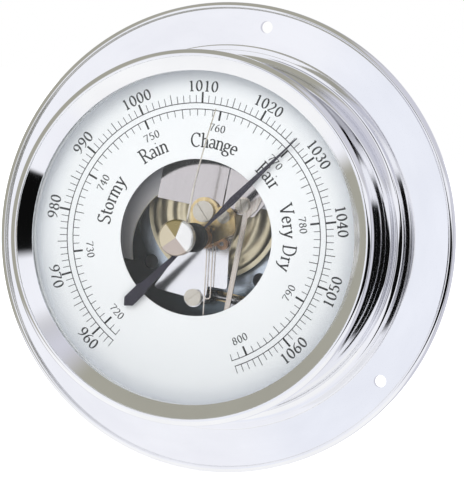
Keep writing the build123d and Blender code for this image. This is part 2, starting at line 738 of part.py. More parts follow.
needle_back = needle_face(boss_back, needle_inset + needle_sheet)
needle_front = needle_face(boss_back + needle_sheet, needle_inset)
needle_ends = [Line(needle_back[i] @ i, needle_front[i] @ i) for i in (0, 1)]
side_view = make_face(needle_back + needle_front + needle_ends)
side_plate = extrude(Plane((0, 0, 0), x_dir=(0, 1, 0), z_dir=(1, 0, 0)) * side_view, 1.0, both=True)
root_half, tip_half, shoulder = 0.2, 0.1, 6.0
taper = outline(
    (-root_half, 0),
    (root_half, 0),
    (root_half, shoulder),
    (tip_half, set_hand_length),
    (-tip_half, set_hand_length),
    (-root_half, shoulder),
)
needle = side_plate & slab(taper, dial_depth, glass_apex)
boss = slab(Circle(boss_radius) - Circle(spindle_radius), boss_back, boss_front)
parts["set_hand"] = boss + needle

# ---- Pressure hand and its hub ----
half_widths = [
    (-hand_tail, 0.05),
    (-hand_tail + tail_point, 1.4),
    (-tail_flare - 0.5, 1.4),
    (-tail_flare, 1.05),
    (-hub_radius, 0.3),
    (hub_radius, 0.2),
    (12.5, 0.85),
    (22.0, 0.45),
    (28.0, 0.22),
    (hand_length, 0.1),
]
left_edge = [(-half, reach) for reach, half in half_widths]
right_edge = [(half, reach) for reach, half in half_widths[::-1]]
hand = outline(*left_edge, *right_edge)
hand += Circle(2.0)
hand -= Circle(arbor_radius)
parts["pressure_hand"] = slab(Rot(0, 0, -hand_reading) * hand, hand_depth, hand_depth + hand_sheet)
hub_back, hub_floor = hand_depth + hand_sheet, hub_front - 1
parts["pressure_hand_hub"] = turned(
    (arbor_radius, hub_back),
    (hub_radius, hub_back, 0.3),
    (hub_radius, hub_front, 0.6),
    (0, hub_front),
    (0, hub_floor),
    (arbor_radius, hub_floor),
)
parts["hand_collar"] = slab(Circle(1.3) - Circle(arbor_radius), dial_back, hand_depth)

# ---- Zero adjusting screw, reached from the back ----
head = rod(0, adjuster_height, adjuster_head, cover_back, can_floor_front)
head -= slab(Pos(0, adjuster_height) * Rectangle(0.6, 3 * adjuster_head), 0, cover_back + 0.9)
parts["adjusting_screw"] = head + rod(0, adjuster_height, adjuster_radius, can_floor_front, adjuster_front)

os.makedirs("parts", exist_ok=True)
for name, pieces in parts.items():
    solids = []
    for piece in pieces if isinstance(pieces, list) else [pieces]:
        solids += piece.solids()
    export_step(Compound(children=solids) if len(solids) > 1 else solids[0], f"parts/{name}.step")
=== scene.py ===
import json
import math

import bmesh
import bpy
from mathutils import Matrix, Vector


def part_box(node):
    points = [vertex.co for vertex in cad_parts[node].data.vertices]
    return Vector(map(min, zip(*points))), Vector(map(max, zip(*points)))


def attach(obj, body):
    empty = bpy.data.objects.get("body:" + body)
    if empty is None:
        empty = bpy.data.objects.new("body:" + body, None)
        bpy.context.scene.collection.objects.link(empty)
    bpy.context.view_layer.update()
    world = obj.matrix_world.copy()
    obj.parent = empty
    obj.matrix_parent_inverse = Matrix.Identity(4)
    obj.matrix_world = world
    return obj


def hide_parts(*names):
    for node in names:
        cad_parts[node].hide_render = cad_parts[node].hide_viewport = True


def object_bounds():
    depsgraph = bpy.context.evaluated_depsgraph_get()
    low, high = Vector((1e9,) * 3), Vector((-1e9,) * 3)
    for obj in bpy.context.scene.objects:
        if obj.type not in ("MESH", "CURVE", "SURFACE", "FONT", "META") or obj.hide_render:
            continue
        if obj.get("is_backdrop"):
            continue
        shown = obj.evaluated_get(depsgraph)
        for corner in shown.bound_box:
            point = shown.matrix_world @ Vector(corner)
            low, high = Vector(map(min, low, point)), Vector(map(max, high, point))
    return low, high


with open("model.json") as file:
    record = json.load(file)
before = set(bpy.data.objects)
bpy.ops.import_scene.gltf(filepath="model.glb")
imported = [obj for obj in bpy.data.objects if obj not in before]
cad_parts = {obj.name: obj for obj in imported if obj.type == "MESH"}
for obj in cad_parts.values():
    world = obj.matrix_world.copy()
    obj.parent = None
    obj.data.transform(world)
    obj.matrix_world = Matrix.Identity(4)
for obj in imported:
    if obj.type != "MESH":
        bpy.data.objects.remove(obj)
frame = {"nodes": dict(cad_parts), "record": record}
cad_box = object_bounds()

MM = 0.001

# The wall is the plane Y = 0 and the reader looks along +Y. Depth is counted from the wall, in
# millimetres, and clock angles run clockwise from twelve.


# ---------------------------------------------------------------- sizes taken from the frame

def reach(node):
    """Outer radius of a part turned about the dial's axis, in millimetres."""
    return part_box(node)[1].x / MM


def back_of(node):
    """Depth of a part's back face from the wall."""
    return -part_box(node)[1].y / MM


def front_of(node):
    """Depth of a part's foremost point from the wall."""
    return -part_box(node)[0].y / MM


FLANGE_R = reach("wall_flange")
FOOT_R = reach("case_body")
BEZEL_R = reach("bezel_ring")
CAN_R = reach("movement_can")
GLASS_R = reach("glass_dome")
KNOB_R = reach("setting_knob")
HUB_R = reach("pressure_hand_hub")
COLLAR_FRONT = front_of("wall_flange")
BODY_FRONT = front_of("case_body")
BEZEL_CREST = front_of("bezel_ring")
DIAL_FACE = front_of("dial")
DIAL_BACK = back_of("dial")
SPACER_FRONT = front_of("dial_spacer")
GLASS_TOP = front_of("glass_dome")
KNOB_BACK = back_of("setting_knob")
KNOB_FRONT = front_of("setting_knob")
BEZEL_OVERHANG, BODY_WALL, LIP_LAP, SEAT_GAP = 1.4, 1.3, 1.2, 0.1
BODY_R = BEZEL_R - BEZEL_OVERHANG
BORE_R = BODY_R - BODY_WALL
LIP_R = GLASS_R - LIP_LAP
COLLAR_HIGH, COLLAR_WIDE, FLANGE_FALL = 1.1, 3.6, 0.5
RIM_WIDE, RIM_HIGH, BACK_STEP = 1.4, 0.4, 0.05
FLANGE_FRONT = COLLAR_FRONT - COLLAR_HIGH
COVER_R = reach("rear_cover") + SEAT_GAP
COVER_FRONT = front_of("rear_cover")
GLASS_THICK, GLASS_SEAT = 1.8, 5.3
GLASS_EDGE = BODY_FRONT + GLASS_SEAT
WINDOW_R = 17.9
SCREW_CIRCLE_OUT, WALL_SCREW_R = 8.6, 1.45
WALL_SCREW_CIRCLE = BODY_R + SCREW_CIRCLE_OUT
DOME_R = (LIP_R ** 2 + (GLASS_TOP - GLASS_EDGE) ** 2) / (2 * (GLASS_TOP - GLASS_EDGE))
DOME_CENTRE = GLASS_TOP - DOME_R


def clock(angle, radius):
    """Front-view place (x, z) at a clock angle."""
    return radius * math.sin(math.radians(angle)), radius * math.cos(math.radians(angle))


def glass_depth(radius, inset=0.0):
    """Depth of the dome's face, or of a face lying inside it by the inset."""
    return DOME_CENTRE + math.sqrt((DOME_R - inset) ** 2 - radius ** 2)


# ---------------------------------------------------------------- finishes

CENTRE, CAPSULE_MIDDLE, PLATE_WINDOW_MIDDLE = (0, 0), (0, 6.1), (-1.6, -3.0)
BOW_UP, BOW_RIGHT = 0.09, 0.12
BUMP_HIGH = 0.0001


def new_finish(name, colour, rough, metal=1.0):
    """A node material with its shader, and a short way to add nodes and links."""
    finish = bpy.data.materials.new(name)
    finish.use_nodes = True
    tree = finish.node_tree
    shader = tree.nodes["Principled BSDF"]
    shader.inputs["Base Color"].default_value = (*colour, 1)
    shader.inputs["Roughness"].default_value = rough
    shader.inputs["Metallic"].default_value = metal
    return finish, tree, shader


def add(tree, kind, **sockets):
    """Adds a shader node; sockets are given by name, with underscores for spaces."""
    made = tree.nodes.new(kind)
    for key, value in sockets.items():
        made.inputs[key.replace("_", " ")].default_value = value
    return made


def sums(tree, operation, a, b=None):
    """A Math node; a and b are numbers or sockets."""
    made = tree.nodes.new("ShaderNodeMath")
    made.operation = operation
    for i, term in enumerate((a, b)):
        if term is None:
            continue
        if isinstance(term, (int, float)):
            made.inputs[i].default_value = term
        else:
            tree.links.new(term, made.inputs[i])
    return made.outputs[0]


def straight_grain(tree, stretch, turn=0.0):
    """Object coordinates stretched into a brushing direction."""
    place = tree.nodes.new("ShaderNodeTexCoord")
    laid = add(tree, "ShaderNodeMapping", Scale=stretch, Rotation=(0, turn, 0))
    tree.links.new(place.outputs["Object"], laid.inputs["Vector"])
    return laid.outputs[0]


def round_grain(tree, centre, ring, ray):
    """Coordinates about an axis square to the wall: ring is the scale outwards, ray the scale round."""
    place = tree.nodes.new("ShaderNodeTexCoord")
    laid = add(tree, "ShaderNodeMapping", Location=(-centre[0] * MM, 0, -centre[1] * MM))
    split = tree.nodes.new("ShaderNodeSeparateXYZ")
    tree.links.new(place.outputs["Object"], laid.inputs["Vector"])
    tree.links.new(laid.outputs[0], split.inputs[0])
    x, y, z = split.outputs
    out = sums(tree, "SQRT", sums(tree, "ADD", sums(tree, "MULTIPLY", x, x), sums(tree, "MULTIPLY", z, z)))
    merged = tree.nodes.new("ShaderNodeCombineXYZ")
    across = sums(tree, "DIVIDE", x, sums(tree, "MAXIMUM", out, 1e-6))
    along = sums(tree, "DIVIDE", z, sums(tree, "MAXIMUM", out, 1e-6))
    tree.links.new(sums(tree, "MULTIPLY", across, ray), merged.inputs[0])
    tree.links.new(sums(tree, "MULTIPLY", out, ring), merged.inputs[1])
    tree.links.new(sums(tree, "MULTIPLY", along, ray), merged.inputs[2])
    return merged.outputs[0], out


def clouds(tree, where, detail, rough=0.6):
    """Noise between 0 and 1 in the given coordinates."""
    noise = add(tree, "ShaderNodeTexNoise", Scale=1.0, Detail=detail, Roughness=rough)
    tree.links.new(where, noise.inputs["Vector"])
    return noise.outputs["Fac"]


def times_plus(tree, value, factor, start):
    """The value times a factor, added to a start."""
    return sums(tree, "ADD", sums(tree, "MULTIPLY", value, factor), start)


def drift(tree, noise, share):
    """A noise centred on nothing, as a share of the level that it disturbs."""
    return sums(tree, "MULTIPLY", sums(tree, "SUBTRACT", noise, 0.5), share)


def coloured_by(tree, shader, level, stops):
    """Sets the base colour from a level between 0 and 1, by (level, colour) stops."""
    ramp = tree.nodes.new("ShaderNodeValToRGB")
    for i, (place, colour) in enumerate(stops):
        stop = ramp.color_ramp.elements[i] if i < 2 else ramp.color_ramp.elements.new(place)
        stop.position, stop.color = place, (*colour, 1)
    tree.links.new(level, ramp.inputs["Fac"])
    tree.links.new(ramp.outputs["Color"], shader.inputs["Base Color"])


def raised_by(tree, shader, height, strength, distance=BUMP_HIGH):
    """Bumps the surface by a height."""
    raised = add(tree, "ShaderNodeBump", Strength=strength, Distance=distance)
    tree.links.new(height, raised.inputs["Height"])
    tree.links.new(raised.outputs["Normal"], shader.inputs["Normal"])


def grained(name, light, dark, rough, spread, grain, bump=0.0, metal=1.0):
    """A finish whose colour and roughness follow a noise in the given grain.

    grain is ("straight", stretch, turn) or ("round", centre, ring, ray)."""
    finish, tree, shader = new_finish(name, light, rough, metal)
    if grain[0] == "straight":
        where = straight_grain(tree, grain[1], grain[2])
    else:
        where, _ = round_grain(tree, grain[1], grain[2], grain[3])
    noise = clouds(tree, where, 3.0)
    coloured_by(tree, shader, noise, [(0.35, dark), (0.65, light)])
    tree.links.new(times_plus(tree, noise, spread, rough), shader.inputs["Roughness"])
    if bump:
        raised_by(tree, shader, noise, bump)
    return finish


def dial_enamel():
    """White satin enamel, greyed in its outermost few millimetres by a painted shadow of the bezel."""
    finish, tree, shader = new_finish("dial_enamel", (0.93, 0.94, 0.95), 0.42, 0.0)
    where, out = round_grain(tree, CENTRE, 260, 3)
    noise = clouds(tree, where, 2.0, 0.5)
    level = times_plus(tree, out, 1 / (CAN_R * MM), drift(tree, noise, 0.03))
    # The outer stops are a painted shadow of the bezel: the enamel greys towards its rim.
    white, painted_shadow_grey = (0.95, 0.96, 0.965), (0.55, 0.56, 0.62)
    stops = [(0.0, white), (0.84, (0.94, 0.955, 0.965)), (0.93, (0.84, 0.865, 0.9)), (1.0, painted_shadow_grey)]
    coloured_by(tree, shader, level, stops)
    tree.links.new(times_plus(tree, noise, 0.1, 0.38), shader.inputs["Roughness"])
    return finish


def brushed_window_band():
    """The frame plate round its window: brushed across, with a painted reflection that is bright at the
    cut edge and slate further out.
    """
    finish, tree, shader = new_finish("brushed_window_band", (0.6, 0.6, 0.62), 0.6)
    where, out = round_grain(tree, PLATE_WINDOW_MIDDLE, 40, 16)
    noise = clouds(tree, where, 4.0, 0.7)
    # The colour runs from a painted bright reflection at the cut edge to a painted dark reflection further
    # out.
    band_start, band_wide = 15.5 * MM, 6.0 * MM
    from_edge = sums(tree, "SUBTRACT", out, band_start)
    level = times_plus(tree, from_edge, 1 / band_wide, drift(tree, noise, 0.35))
    painted_bright_reflection, painted_slate_reflection = (1.0, 0.98, 0.95), (0.45, 0.46, 0.52)
    stops = [(0.0, painted_bright_reflection), (1.0, painted_slate_reflection), (0.1, (0.95, 0.93, 0.92)), (0.55, (0.82, 0.82, 0.86))]
    coloured_by(tree, shader, level, stops)
    raised_by(tree, shader, noise, 0.25)
    return finish


def turned_gold():
    """Pale gold turned in a lathe, with a painted reflection laid in fixed sectors round the axis, from
    olive through white to rose.
    """
    finish, tree, shader = new_finish("turned_gold_knob", (0.9, 0.85, 0.7), 0.2)
    place = tree.nodes.new("ShaderNodeTexCoord")
    split = tree.nodes.new("ShaderNodeSeparateXYZ")
    tree.links.new(place.outputs["Object"], split.inputs[0])
    # The colour round the axis is a painted reflection of the studio, in sectors that turn with the knob.
    turn = sums(tree, "ARCTAN2", split.outputs[0], split.outputs[2])
    share = sums(tree, "ADD", sums(tree, "DIVIDE", turn, 2 * math.pi), 0.5)
    painted_olive_sector, painted_beige_sector, white, painted_rose_sector = (0.36, 0.3, 0.15), (0.76, 0.68, 0.5), (1.0, 1.0, 0.97), (0.62, 0.54, 0.48)
    stops = [
        (0.0, painted_rose_sector), (1.0, painted_rose_sector), (0.115, painted_rose_sector), (0.13, painted_beige_sector), (0.36, painted_beige_sector),
        (0.375, painted_olive_sector), (0.52, painted_olive_sector), (0.54, white), (0.85, white), (0.87, painted_rose_sector),
    ]
    coloured_by(tree, shader, share, stops)
    grain, _ = round_grain(tree, CENTRE, 2500, 2)
    noise = clouds(tree, grain, 2.0, 0.5)
    tree.links.new(times_plus(tree, noise, 0.1, 0.2), shader.inputs["Roughness"])
    return finish


def blued_base():
    """Dark blued plate with a painted pale blue reflection in a ring close round the capsule."""
    finish, tree, shader = new_finish("blued_base_plate", (0.12, 0.15, 0.17), 0.2)
    where, out = round_grain(tree, CAPSULE_MIDDLE, 160, 1.6)
    noise = clouds(tree, where, 3.0)
    plate_reach = 30 * MM
    level = times_plus(tree, out, 1 / plate_reach, drift(tree, noise, 0.12))
    # The pale ring round the capsule is a painted reflection on the dark plate.
    dark, painted_reflection_blue = (0.1, 0.13, 0.15), (0.66, 0.74, 0.82)
    stops = [(0.0, dark), (1.0, dark), (0.5, dark), (0.54, painted_reflection_blue), (0.6, painted_reflection_blue), (0.65, dark)]
    coloured_by(tree, shader, level, stops)
    tree.links.new(times_plus(tree, noise, 0.16, 0.14), shader.inputs["Roughness"])
    return finish


def bowed_leaf():
    """Ground spring leaf, very faintly streaked; it is bowed a little and looks slightly up and right."""
    finish, tree, shader = new_finish("ground_spring_leaf", (0.64, 0.605, 0.6), 0.1)
    noise = clouds(tree, straight_grain(tree, ALONG_Z), 3.0)
    coloured_by(tree, shader, noise, [(0.3, (0.625, 0.59, 0.585)), (0.7, (0.66, 0.625, 0.62))])
    tree.links.new(times_plus(tree, noise, 0.05, 0.07), shader.inputs["Roughness"])
    place = tree.nodes.new("ShaderNodeTexCoord")
    split = tree.nodes.new("ShaderNodeSeparateXYZ")
    tree.links.new(place.outputs["Object"], split.inputs[0])
    across = sums(tree, "MULTIPLY", split.outputs[0], -BOW_RIGHT)
    rise = sums(tree, "MULTIPLY", split.outputs[2], -BOW_UP)
    raised_by(tree, shader, sums(tree, "ADD", across, rise), 1.0, 1.0)
    return finish


def clear_glass():
    """Thin domed crystal: nearly invisible face on, brighter at a glancing angle."""
    finish, tree, shader = new_finish("clear_glass_dome", (0.93, 0.96, 0.97), 0.02, 0.0)
    edge = add(tree, "ShaderNodeLayerWeight", Blend=0.25)
    place = tree.nodes.new("ShaderNodeTexCoord")
    haze = add(tree, "ShaderNodeTexNoise", Scale=120.0, Detail=2.0)
    tree.links.new(place.outputs["Object"], haze.inputs["Vector"])
    faint = times_plus(tree, haze.outputs["Fac"], 0.012, 0.02)
    shown = sums(tree, "ADD", faint, sums(tree, "MULTIPLY", edge.outputs["Fresnel"], 0.5))
    tree.links.new(shown, shader.inputs["Alpha"])
    return finish


ALONG_X, ALONG_Z, ALL_WAYS = (60, 900, 2200), (2200, 900, 60), (700, 700, 700)

FINISHES = {
    "chrome": grained(
        "chrome_plate", (0.93, 0.935, 0.955), (0.88, 0.885, 0.91), 0.028, 0.03,
        ("round", CENTRE, 90, 2.0)
    ),
    "black_plastic": grained(
        "moulded_black_cover", (0.035, 0.035, 0.038), (0.02, 0.02, 0.022), 0.5, 0.2,
        ("straight", (1500,) * 3, 0), 0.35, 0.0
    ),
    "zinc_sheet": grained(
        "zinc_plated_sheet", (0.62, 0.64, 0.66), (0.45, 0.47, 0.5), 0.25, 0.25,
        ("straight", (120, 120, 120), 0), 0.05
    ),
    "nickel_screw": grained(
        "turned_nickel", (0.74, 0.7, 0.61), (0.66, 0.62, 0.54), 0.2, 0.1,
        ("straight", (5000, 5000, 5000), 0.3), 0.02
    ),
    "dial_white": dial_enamel(),
    "white_plastic": grained(
        "white_spacer_plastic", (0.9, 0.915, 0.92), (0.84, 0.85, 0.87), 0.3, 0.1,
        ("round", CENTRE, 300, 4), 0.02, 0.0
    ),
    "clear_glass": clear_glass(),
    "gasket_rubber": grained(
        "black_gasket", (0.04, 0.04, 0.04), (0.02, 0.02, 0.02), 0.6, 0.2,
        ("straight", (900,) * 3, 0), 0.2, 0.0
    ),
    "polished_brass": grained(
        "polished_brass", (0.88, 0.71, 0.4), (0.72, 0.55, 0.27), 0.1, 0.15,
        ("straight", ALL_WAYS, 0), 0.04
    ),
    "spring_steel": grained(
        "spring_steel", (0.7, 0.7, 0.71), (0.5, 0.5, 0.52), 0.15, 0.2, ("straight", ALONG_X, 0), 0.05
    ),
    "gold_knob": turned_gold(),
    "set_hand_gold": grained(
        "pale_gold_hand", (0.86, 0.82, 0.74), (0.74, 0.69, 0.6), 0.2, 0.12,
        ("straight", ALONG_Z, 0), 0.03
    ),
    "black_hand": grained(
        "black_lacquer_hand", (0.03, 0.026, 0.045), (0.02, 0.017, 0.03), 0.32, 0.1,
        ("straight", (260,) * 3, 0.6), 0.03, 0.0
    ),
    "hairspring_bronze": grained(
        "bronze_wire", (0.62, 0.4, 0.24), (0.4, 0.22, 0.12), 0.2, 0.2, ("straight", ALL_WAYS, 0)
    ),
    "base_steel": blued_base(),
    "capsule_bronze": grained(
        "pressed_capsule_bronze", (0.9, 0.81, 0.58), (0.8, 0.7, 0.47), 0.3, 0.1,
        ("round", CAPSULE_MIDDLE, 700, 5), 0.02
    ),
    "brushed_frame": brushed_window_band(),
    "spring_plate": bowed_leaf(),
    "lever_metal": grained(
        "nickel_silver_lever", (0.86, 0.8, 0.73), (0.62, 0.55, 0.48), 0.16, 0.2,
        ("straight", ALONG_Z, 0), 0.08
    ),
    "mirror_plate": grained(
        "mirror_nickel_plate", (0.95, 0.955, 0.97), (0.9, 0.905, 0.935), 0.12, 0.05,
        ("straight", (200, 200, 200), 0)
    ),
    "cock_brass": grained(
        "polished_cock_brass", (0.86, 0.7, 0.4), (0.66, 0.48, 0.22), 0.12, 0.2,
        ("straight", (600, 600, 200), 0.4), 0.06
    ),
    "sector_copper": grained(
        "copper_sector", (0.62, 0.4, 0.26), (0.36, 0.21, 0.12), 0.2, 0.2,
        ("straight", (500, 500, 500), 0), 0.06
    ),
    "blued_steel": grained(
        "blackened_steel", (0.03, 0.03, 0.035), (0.015, 0.015, 0.018), 0.3, 0.2,
        ("straight", ALL_WAYS, 0), 0.1, 0.5
    ),
}
HUB_BLACK = grained(
    "black_hub", (0.006,) * 3, (0.003,) * 3, 0.55, 0.1,
    ("straight", (260,) * 3, 0.6), 0.02, 0.0
)
# The dial's unpainted metal back, coloured nearly black as painted shade, so its window edge and its
# reflections behind the dial read dark.
DIAL_BACK_PAINTED_SHADE = grained(
    "unpainted_dial_back_painted_shade", (0.14, 0.14, 0.15), (0.1, 0.1, 0.105), 0.5, 0.2,
    ("straight", ALL_WAYS, 0), 0.05, 0.6
)
INK = grained(
    "printed_black_ink", (0.02, 0.02, 0.022), (0.012, 0.012, 0.014), 0.5, 0.1,
    ("straight", (900,) * 3, 0), 0.0, 0.0
)
for lacquer, gloss in ((FINISHES["black_hand"], 0.2), (HUB_BLACK, 0.1)):
    lacquer.node_tree.nodes["Principled BSDF"].inputs["Specular IOR Level"].default_value = gloss


# ---------------------------------------------------------------- making pieces

def rounded(profile, steps=6):
    """A closed outline from (radius, depth) corners; a third value rounds that corner."""
    points = []
    count = len(profile)
    for i, corner in enumerate(profile):
        here = Vector(corner[:2])
        if len(corner) < 3 or corner[2] <= 0:
            points.append(tuple(here))
            continue
        before, after = Vector(profile[i - 1][:2]), Vector(profile[(i + 1) % count][:2])
        a, b = (before - here).normalized(), (after - here).normalized()
        half = a.angle(b) / 2
        cut = corner[2] / math.tan(half)
        middle = here + (a + b).normalized() * corner[2] / math.sin(half)
        start, end = here + a * cut - middle, here + b * cut - middle
        sweep = start.angle_signed(end)
        for k in range(steps + 1):
            turned = start.copy()
            turned.rotate(Matrix.Rotation(-sweep * k / steps, 2))
            points.append(tuple(middle + turned))
    return points


def mesh_object(name, bm):
    """A scene object from a bmesh in millimetres, with its faces turned outwards."""
    bmesh.ops.remove_doubles(bm, verts=bm.verts, dist=1e-5)
    bmesh.ops.recalc_face_normals(bm, faces=bm.faces)
    bmesh.ops.scale(bm, vec=(MM, MM, MM), verts=bm.verts)
    mesh = bpy.data.meshes.new(name)
    bm.to_mesh(mesh)
    bm.free()
    made = bpy.data.objects.new(name, mesh)
    bpy.context.collection.objects.link(made)
    return made


def turned(name, points, around=192, centre=CENTRE):
    """A closed outline of (radius, depth) points swept about an axis square to the wall."""
    bm = bmesh.new()
    rings = []
    for radius, depth in points:
        if radius < 1e-6:
            rings.append([bm.verts.new((centre[0], -depth, centre[1]))])
            continue
        ring = []
        for k in range(around):
            x, z = clock(360 * k / around, radius)
            ring.append(bm.verts.new((centre[0] + x, -depth, centre[1] + z)))
        rings.append(ring)
    for i, ring in enumerate(rings):
        other = rings[(i + 1) % len(rings)]
        for k in range(around):
            n = (k + 1) % around
            near, far = [ring[i % len(ring)] for i in (k, n)], [other[i % len(other)] for i in (n, k)]
            corners = list(dict.fromkeys(near + far))
            if len(corners) > 2:
                bm.faces.new(corners)
    return mesh_object(name, bm)


def cut(piece, tool):
    """Takes the tool away from the piece and throws the tool out."""
    cutter = piece.modifiers.new("cut", "BOOLEAN")
    cutter.operation, cutter.object, cutter.solver = "DIFFERENCE", tool, "EXACT"
    settle(piece)
    bpy.data.objects.remove(tool)


def settle(piece):
    """Applies every modifier on a piece."""
    bpy.context.view_layer.update()
    shape = piece.evaluated_get(bpy.context.evaluated_depsgraph_get())
    mesh = bpy.data.meshes.new_from_object(shape)
    piece.modifiers.clear()
    piece.data = mesh


def fit(piece, body, slot, *nodes, finish=None, crease=32, even=True):
    """Gives a made piece its finish, its smooth shading, its body and the parts that it stands for.

    Shading is weighed by face size, so that flats stay flat beside their rounded edges."""
    piece.data.materials.clear()
    piece.data.materials.append(finish or FINISHES[slot])
    piece.data.polygons.foreach_set("use_smooth", [True] * len(piece.data.polygons))
    piece.data.set_sharp_from_angle(angle=math.radians(crease))
    if even:
        weigher = piece.modifiers.new("even_flats", "WEIGHTED_NORMAL")
        weigher.mode, weigher.keep_sharp, weigher.weight = "FACE_AREA", True, 100
        settle(piece)
    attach(piece, body)
    if nodes:
        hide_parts(*nodes)
    return piece


# ---------------------------------------------------------------- wall flange, body and bezel

flange = turned("flange_turned", rounded([
    (BORE_R, BACK_STEP),
    (COVER_R, BACK_STEP),
    (COVER_R, 0),
    (FLANGE_R, 0, 0.3),
    (FLANGE_R, FLANGE_FRONT + RIM_HIGH, 1.1),
    (FLANGE_R - RIM_WIDE, FLANGE_FRONT + RIM_HIGH, 0.3),
    (FLANGE_R - RIM_WIDE - 0.05, FLANGE_FRONT - FLANGE_FALL, 0.15),
    (BODY_R + COLLAR_WIDE, FLANGE_FRONT, 0.12),
    (BODY_R + COLLAR_WIDE, COLLAR_FRONT, 0.3),
    (BORE_R, COLLAR_FRONT),
]), around=240)


def plug(name, radius, front, around, centre=CENTRE):
    """A solid rod to cut with, from behind the wall plane to a depth."""
    behind = -1
    return turned(name, [(0, behind), (radius, behind), (radius, front), (0, front)], around, centre)


DRILL_REACH = 5
cut(flange, plug("recess", COVER_R, COVER_FRONT, 240))
for angle in (0, 120, 240):
    cut(flange, plug("drill", WALL_SCREW_R, DRILL_REACH, 48, clock(angle, WALL_SCREW_CIRCLE)))
fit(flange, "case", "chrome", "wall_flange")

FOOT_HIGH = 0.3
body = turned("body_spun", rounded([
    (BORE_R, COLLAR_FRONT),
    (FOOT_R, COLLAR_FRONT, 0.08),
    (FOOT_R, COLLAR_FRONT + FOOT_HIGH, 0.1),
    (BODY_R, COLLAR_FRONT + FOOT_HIGH, 2.0),
    (BODY_R, BODY_FRONT),
    (BORE_R, BODY_FRONT),
], steps=10), around=240)
fit(body, "case", "chrome", "case_body")

lip_under = glass_depth(LIP_R) + SEAT_GAP
CREST_WIDE, LIP_THICK = 1.6, 0.35
bezel = turned("bezel_turned", rounded([
    (BORE_R, BODY_FRONT),
    (BODY_R, BODY_FRONT),
    (BODY_R, BODY_FRONT + 2.2, 1.0),
    (BEZEL_R, BODY_FRONT + 3.8, 0.8),
    (BEZEL_R, BEZEL_CREST, 1.4),
    (BEZEL_R - CREST_WIDE, BEZEL_CREST, 0.12),
    (BEZEL_R - CREST_WIDE, BEZEL_CREST - 0.5, 0.1),
    (LIP_R, lip_under + LIP_THICK, 0.15),
    (LIP_R, lip_under),
    (GLASS_R, glass_depth(GLASS_R) + SEAT_GAP),
    (BORE_R, glass_depth(GLASS_R) + SEAT_GAP),
], steps=10), around=288)
fit(bezel, "case", "chrome", "bezel_ring")

# ---------------------------------------------------------------- dial, spacer and glass

PAINT = 0.12
dial = turned("dial_sheet", rounded([
    (WINDOW_R, DIAL_FACE - PAINT),
    (CAN_R, DIAL_FACE - PAINT),
    (CAN_R, DIAL_FACE),
    (WINDOW_R, DIAL_FACE, 0.08),
], steps=4), around=240)
fit(dial, "case", "dial_white", "dial")
# The dial's back and window edge are real metal with painted shade: a dark finish where the dial stands in
# shade.
dial_metal = turned("dial_unpainted_back", rounded([
    (WINDOW_R, DIAL_BACK, 0.08),
    (CAN_R, DIAL_BACK),
    (CAN_R, DIAL_FACE - PAINT),
    (WINDOW_R, DIAL_FACE - PAINT),
], steps=4), around=240)
fit(dial_metal, "case", "dial_white", finish=DIAL_BACK_PAINTED_SHADE)

SPACER_WIDE = 1.8
spacer = turned("spacer_ring", rounded([
    (CAN_R - SPACER_WIDE, DIAL_FACE),
    (CAN_R, DIAL_FACE),
    (CAN_R, SPACER_FRONT),
    (CAN_R - SPACER_WIDE, SPACER_FRONT, 0.25),
], steps=4), around=240)
fit(spacer, "case", "white_plastic", "dial_spacer")

BUSH_HOLE, BUSH_BORE, BUSH_SHANK, BUSH_HEAD = 1.55, 1.05, 1.5, 2.7
foot_in = math.sqrt((DOME_R - GLASS_THICK) ** 2 - (SPACER_FRONT - DOME_CENTRE) ** 2)
shares = [k / 24 for k in range(25)]
outside = [(r, glass_depth(r)) for r in [BUSH_HOLE + (GLASS_R - BUSH_HOLE) * k for k in shares]]
inside = [(r, glass_depth(r, GLASS_THICK)) for r in [foot_in + (BUSH_HOLE - foot_in) * k for k in shares]]
glass = turned("domed_glass", outside + [(GLASS_R, SPACER_FRONT)] + inside, around=160)
fit(glass, "case", "clear_glass", "glass_dome")

bush = turned("bush_turned", rounded([
    (BUSH_BORE, back_of("glass_bush")),
    (BUSH_SHANK, back_of("glass_bush")),
    (BUSH_SHANK, GLASS_TOP),
    (BUSH_HEAD, GLASS_TOP),
    (BUSH_HEAD, front_of("glass_bush"), 0.2),
    (BUSH_BORE, front_of("glass_bush")),
], steps=4), around=64)
fit(bush, "case", "polished_brass", "glass_bush")


# ---------------------------------------------------------------- printing: strokes of a broad pen

NIB_WIDE, NIB_THIN, NIB_ANGLE = 0.15, 0.07, math.radians(22)


def arc(cx, cy, rx, ry, start, end):
    """Points on an ellipse between two angles, in degrees anticlockwise from the right."""
    count = max(4, int(abs(end - start) / 18))
    turn = [math.radians(start + (end - start) * i / count) for i in range(count + 1)]
    return [(cx + rx * math.cos(t), cy + ry * math.sin(t)) for t in turn]


def bar(x0, y0, x1, y1):
    """A straight stroke."""
    return [(x0, y0), (x1, y1)]


def bend(p0, p1, p2, p3):
    """A Bezier stroke."""
    points = []
    for i in range(9):
        t = i / 8
        weights = ((1 - t) ** 3, 3 * t * (1 - t) ** 2, 3 * t * t * (1 - t), t ** 3)
        corners = (p0, p1, p2, p3)
        points.append(tuple(sum(w * c[axis] for w, c in zip(weights, corners)) for axis in (0, 1)))
    return points


def foot(x, y, half=0.13):
    """A short flat serif."""
    return [(x - half, y), (x + half, y)]


def stem(x, low, high, half=0.13):
    """An upright with a serif at its foot and a flag at its head."""
    flag = bar(x - 0.12, high - 0.06, x, high - 0.02)
    return [bar(x, low + 0.02, x, high - 0.01), foot(x, low + 0.03, half), flag]


def arch(middle, half_wide, foot_half):
    """The shoulder of an n with its leg and serif."""
    leg = middle + half_wide
    return [arc(middle, 0.42, half_wide, 0.2, 150, 0) + [(leg, 0.03)], foot(leg, 0.03, foot_half)]


